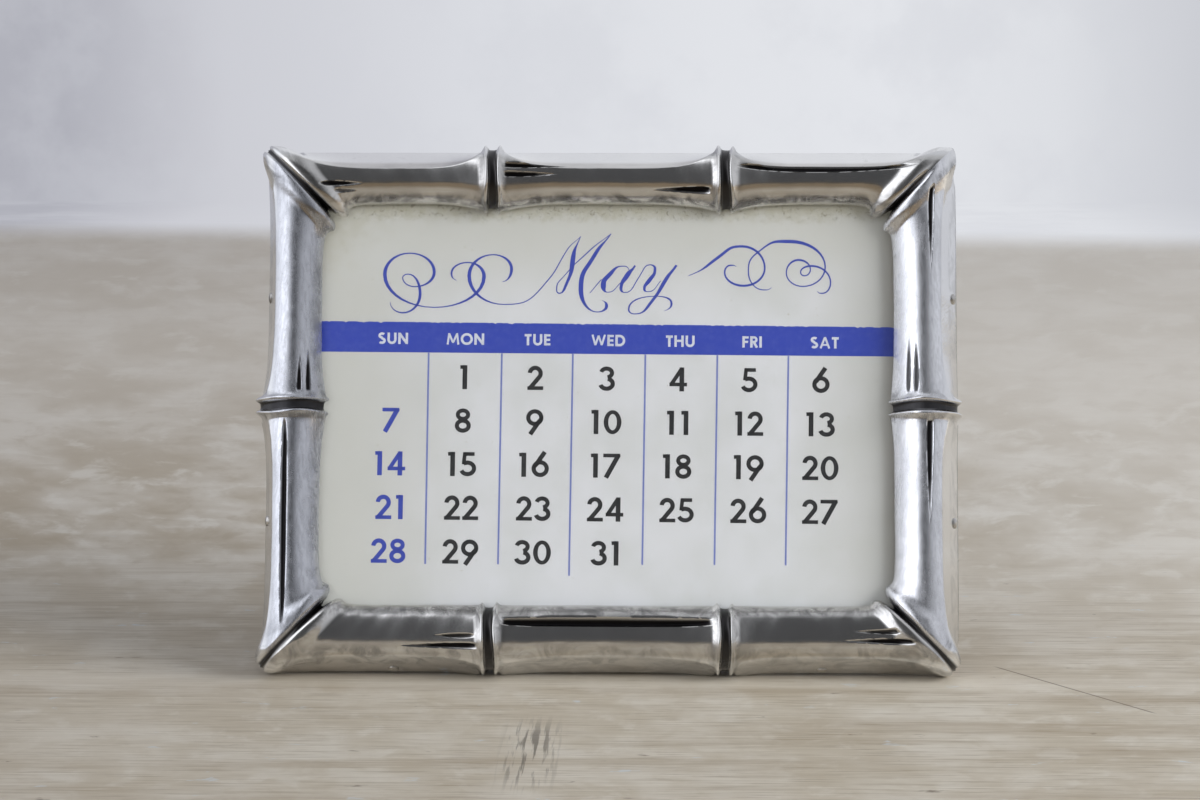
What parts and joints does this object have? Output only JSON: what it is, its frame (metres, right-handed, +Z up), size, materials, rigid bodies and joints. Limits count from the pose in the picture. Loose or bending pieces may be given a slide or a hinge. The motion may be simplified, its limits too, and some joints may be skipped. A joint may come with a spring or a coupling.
{
  "type": "perpetual desk calendar",
  "caption": "Perpetual desk calendar: mitred bamboo-pattern silver frame with glass, loose month and date cards in a top-loading wooden well, and a folding easel strut.",
  "frame": {"origin": "on the desk plane, under the middle of the bounding box", "axes": "+X to the right as seen from the front, +Y from the front towards the strut, +Z up; the frame leans back 13.5 degrees about X"},
  "size_m": [0.1032, 0.043, 0.0773],
  "materials": {
    "silver": "hand-polished silver with dark oxidised grooves",
    "glass": "clear polished",
    "well_wood": "waxed hardwood strips",
    "back_wood": "french-polished mahogany",
    "brass": "lacquered brass, a little dulled",
    "card_print": "printed matt card",
    "card_stock": "aged matt card"
  },
  "bodies": {
    "frame": {"top_cane": "silver", "bottom_cane": "silver", "left_cane": "silver", "right_cane": "silver", "glass_pane": "glass", "left_strip": "well_wood", "right_strip": "well_wood", "bottom_strip": "well_wood", "back_panel": "back_wood", "rim_pins": "silver", "fixed_leaf": "brass", "fixed_leaf_screws": "brass", "hinge_pin": "brass"},
    "date_card": {"date_card": "card_print"},
    "month_card": {"month_card": "card_print"},
    "spare_dates": {"spare_date_cards": "card_stock"},
    "spare_months": {"spare_month_cards": "card_stock"},
    "strut": {"strut": "back_wood", "moving_leaf": "brass", "moving_leaf_screws": "brass"}
  },
  "joints": [
    {"name": "date_card_lift", "type": "slide", "parent": "frame", "child": "date_card", "axis": [0, 0.2334, 0.9724], "range_m": [0, 0.058]},
    {"name": "month_card_lift", "type": "slide", "parent": "frame", "child": "month_card", "axis": [0, 0.2334, 0.9724], "range_m": [0, 0.058]},
    {"name": "spare_dates_lift", "type": "slide", "parent": "frame", "child": "spare_dates", "axis": [0, 0.2334, 0.9724], "range_m": [0, 0.058]},
    {"name": "spare_months_lift", "type": "slide", "parent": "frame", "child": "spare_months", "axis": [0, 0.2334, 0.9724], "range_m": [0, 0.058]},
    {"name": "strut_fold", "type": "hinge", "parent": "frame", "child": "strut", "pos_m": [0, 0.00544, 0.04812], "axis": [-1, 0, 0], "range_deg": [0, 30]}
  ]
}
